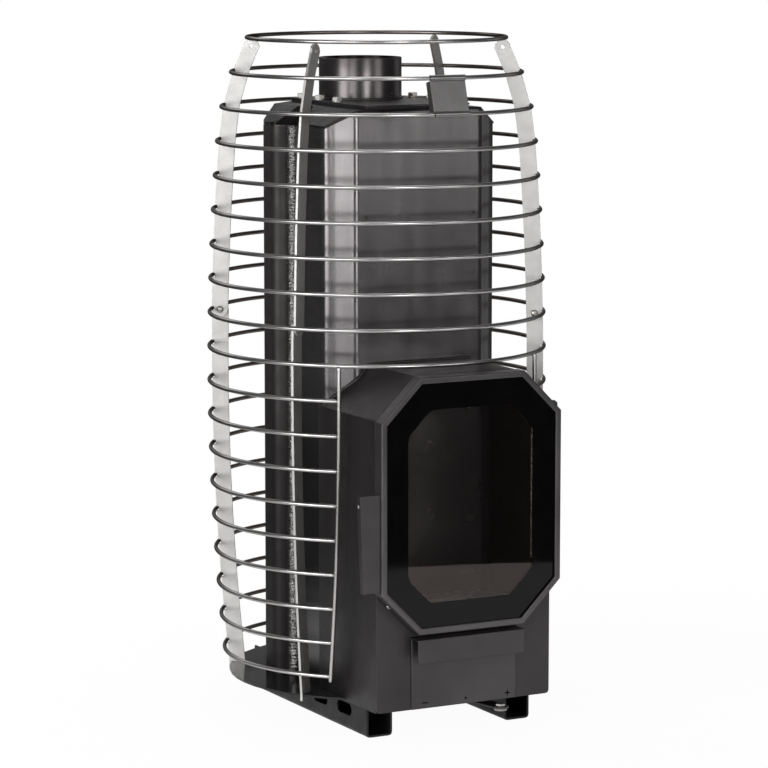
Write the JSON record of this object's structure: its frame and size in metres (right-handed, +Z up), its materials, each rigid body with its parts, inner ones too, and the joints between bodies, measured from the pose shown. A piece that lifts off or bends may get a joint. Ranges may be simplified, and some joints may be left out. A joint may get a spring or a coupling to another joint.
{
  "type": "wood-burning sauna stove",
  "caption": "Wood-burning sauna stove in a barrel-shaped wire stone cage, with an eight-sided glass door, ash drawer, air lever and top flue collar.",
  "frame": {"origin": "middle of the bounding box at floor level", "axes": "+Z up; the door faces -Y and hangs on its +X side"},
  "size_m": [0.4976, 0.5368, 0.9826],
  "materials": {
    "cage_steel": "satin stainless",
    "zinc_bolt": "zinc plated",
    "heat_paint": "satin heat-proof paint",
    "cast_iron": "raw casting",
    "fibre_seal": "woven fibre",
    "door_glass": "ceramic glass"
  },
  "bodies": {
    "stove": {"air_pivot": "zinc_bolt", "badge_plate": "cage_steel", "baffle_plate": "cast_iron", "base_plate": "heat_paint", "cage_ring_01": "cage_steel", "cage_ring_02": "cage_steel", "cage_ring_03": "cage_steel", "cage_ring_04": "cage_steel", "cage_ring_05": "cage_steel", "cage_ring_06": "cage_steel", "cage_ring_07": "cage_steel", "cage_ring_08": "cage_steel", "cage_ring_09": "cage_steel", "cage_ring_10": "cage_steel", "cage_ring_11": "cage_steel", "cage_ring_12": "cage_steel", "cage_ring_13": "cage_steel", "cage_ring_14": "cage_steel", "cage_ring_15": "cage_steel", "cage_ring_16": "cage_steel", "cage_ring_17": "cage_steel", "cage_ring_18": "cage_steel", "cage_ring_19": "cage_steel", "cutout_rod_left": "cage_steel", "cutout_rod_right": "cage_steel", "fire_grate": "cast_iron", "fire_neck": "heat_paint", "firebox_floor": "heat_paint", "flue_collar": "heat_paint", "flue_cover": "heat_paint", "flue_cover_bolt_1": "zinc_bolt", "flue_cover_bolt_2": "zinc_bolt", "flue_cover_bolt_3": "zinc_bolt", "flue_cover_bolt_4": "zinc_bolt", "flue_cover_bolt_5": "zinc_bolt", "flue_cover_bolt_6": "zinc_bolt", "flue_cover_gasket": "fibre_seal", "foot_rail_left": "heat_paint", "foot_rail_right": "heat_paint", "front_plate": "heat_paint", "front_shell": "heat_paint", "rear_shell": "heat_paint", "strip_lower_front_left": "cage_steel", "strip_lower_front_right": "cage_steel", "strip_lower_rear_left": "cage_steel", "strip_lower_rear_right": "cage_steel", "strip_upper_front_left": "cage_steel", "strip_upper_front_right": "cage_steel", "strip_upper_rear_left": "cage_steel", "strip_upper_rear_right": "cage_steel", "top_plate": "heat_paint"},
    "door": {"door_frame": "heat_paint", "door_glass": "door_glass", "glass_gasket": "fibre_seal", "glass_retainer": "heat_paint", "door_rope": "fibre_seal", "door_handle": "heat_paint"},
    "ash_drawer": {"ash_drawer": "heat_paint"},
    "air_control": {"air_lever": "heat_paint", "air_knob": "zinc_bolt"}
  },
  "joints": [
    {"name": "door_hinge", "type": "hinge", "parent": "stove", "child": "door", "pos_m": [0.1485, -0.23742, 0.34], "axis": [0, 0, 1], "range_deg": [0, 120]},
    {"name": "drawer_slide", "type": "slide", "parent": "stove", "child": "ash_drawer", "axis": [0, -1, 0], "range_m": [0, 0.28]},
    {"name": "air_lever", "type": "hinge", "parent": "stove", "child": "air_control", "pos_m": [0, 0.03958, 0.0435], "axis": [0, 0, 1], "range_deg": [-26.4, 1]}
  ]
}
